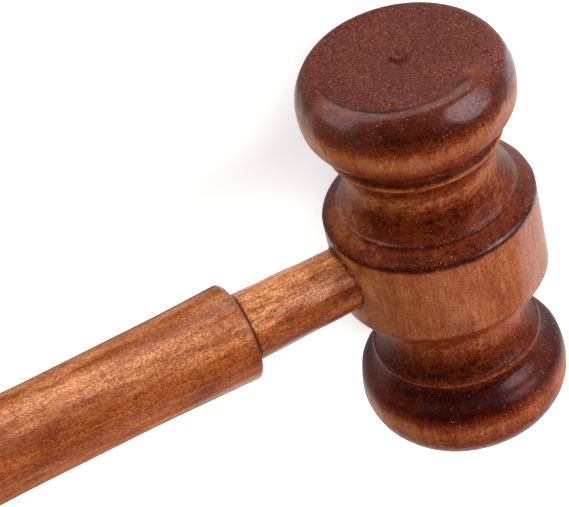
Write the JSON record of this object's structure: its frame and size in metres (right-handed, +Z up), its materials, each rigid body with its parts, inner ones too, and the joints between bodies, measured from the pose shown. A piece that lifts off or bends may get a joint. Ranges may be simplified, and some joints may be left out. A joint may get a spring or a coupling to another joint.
{
  "type": "gavel",
  "caption": "Turned wooden gavel: a double-faced head with two round buns and a plain middle band, on a slim neck and a thicker waisted grip.",
  "frame": {"origin": "on the floor, under the middle of the box round the gavel as it lies on its side", "axes": "+X from the head along the handle to the butt, +Y along the head's axis, +Z up; the pictured striking face looks to -Y"},
  "size_m": [0.2494, 0.09, 0.0435],
  "materials": {
    "head_wood": "stained, glossy lacquer on the turned parts, matter on the band and the striking faces",
    "neck_wood": "stained, satin lacquer",
    "grip_wood": "stained, satin lacquer",
    "cured_glue": "dark cured wood glue"
  },
  "bodies": {
    "root": {"head": "head_wood", "neck": "neck_wood", "grip": "grip_wood", "head_joint_glue": "cured_glue", "grip_joint_glue": "cured_glue"}
  },
  "joints": []
}
